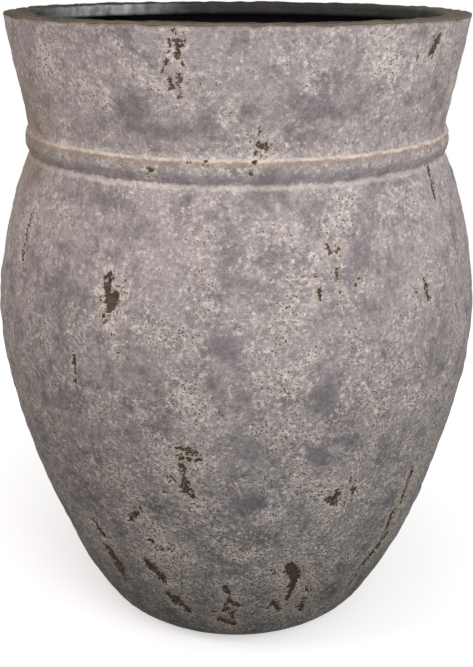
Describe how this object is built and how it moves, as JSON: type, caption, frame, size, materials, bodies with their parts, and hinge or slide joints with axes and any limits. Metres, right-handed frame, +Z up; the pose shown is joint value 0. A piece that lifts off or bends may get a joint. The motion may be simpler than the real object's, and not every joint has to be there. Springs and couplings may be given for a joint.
{
  "type": "flower pot",
  "caption": "Tall jar-shaped flower pot with a full belly, a half-round bead at the neck and a flared collar with a turned-in lip, in weathered stone finish, with a drain plug.",
  "frame": {"origin": "centre of the base, on the plane that the pot stands on", "axes": "+Z up along the axis of the jar; -Y is the side that faces the viewer"},
  "size_m": [0.56, 0.56, 0.72],
  "materials": {
    "fibre_cement": "bare dark fibre cement, matt and a little rough",
    "stone_wash": "pale pinkish-grey mineral coat, clouded, pitted and flaked",
    "lining": "brushed black waterproof coat with a dull sheen",
    "plug_rubber": "moulded black rubber"
  },
  "bodies": {
    "pot": {"fibre_core": "fibre_cement", "stone_coat": "stone_wash", "inner_lining": "lining"},
    "plug": {"drain_plug": "plug_rubber"}
  },
  "joints": [
    {"name": "plug_lift", "type": "slide", "parent": "pot", "child": "plug", "axis": [0, 0, 1], "range_m": [0, 0.74]}
  ]
}
